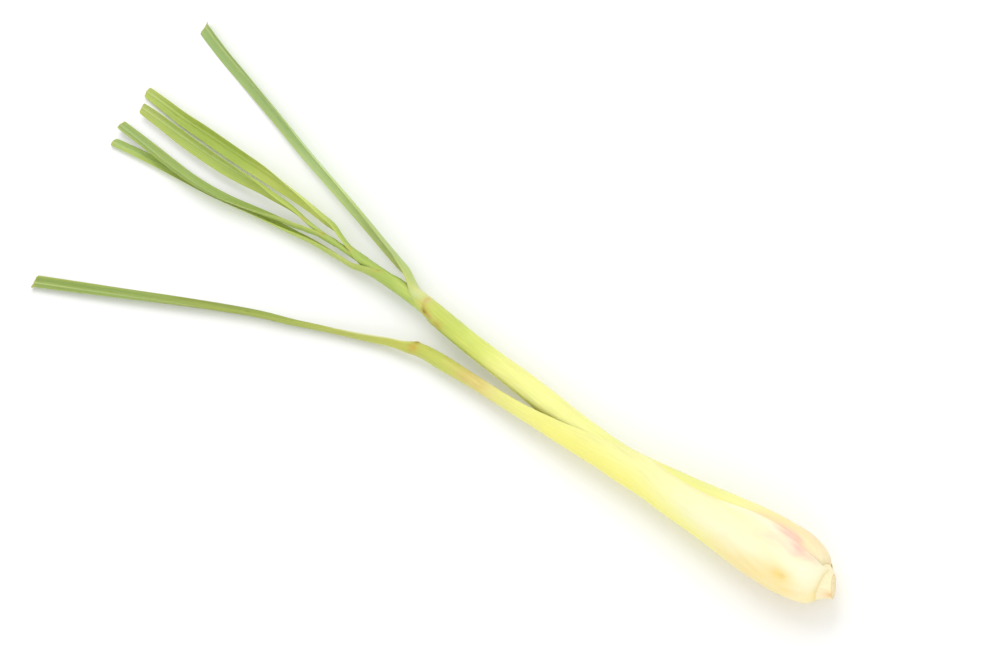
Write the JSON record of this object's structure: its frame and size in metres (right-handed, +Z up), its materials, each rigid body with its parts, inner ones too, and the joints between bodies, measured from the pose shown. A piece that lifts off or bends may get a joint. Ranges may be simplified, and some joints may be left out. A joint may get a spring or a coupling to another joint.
{
  "type": "lemongrass stalk",
  "caption": "Trimmed lemongrass stalk lying flat: a bulb of wrapped leaf sheaths on a cut root end, a round pale stalk, and leaf blades fanning out to one square cut.",
  "frame": {"origin": "middle of the bottom of the object's box, on the surface it lies on", "axes": "+X from the root end to the leaf tips, +Y to the side where the outer leaf's blade splays out, +Z up"},
  "size_m": [0.3959, 0.1384, 0.0252],
  "materials": {
    "base_stem": "cut plant stem, moist ivory with a tan dried rim",
    "outer_leaf": "satin leaf sheath with fine lengthwise veins, ivory bulb, pale yellow stalk, tan-green blade",
    "second_leaf": "satin leaf sheath, pink-rose flush at the bulb, lemon yellow to yellow-green stalk, blue-green blade",
    "third_leaf": "satin leaf with fine lengthwise veins, mid green",
    "fourth_leaf": "satin leaf with fine lengthwise veins, light green",
    "fifth_leaf": "satin leaf with fine lengthwise veins, mid green",
    "inner_leaf": "satin young leaf, light yellow-green"
  },
  "bodies": {
    "root": {"base_stem": "base_stem", "outer_leaf": "outer_leaf", "second_leaf": "second_leaf", "third_leaf": "third_leaf", "fourth_leaf": "fourth_leaf", "fifth_leaf": "fifth_leaf", "inner_leaf": "inner_leaf"}
  },
  "joints": []
}
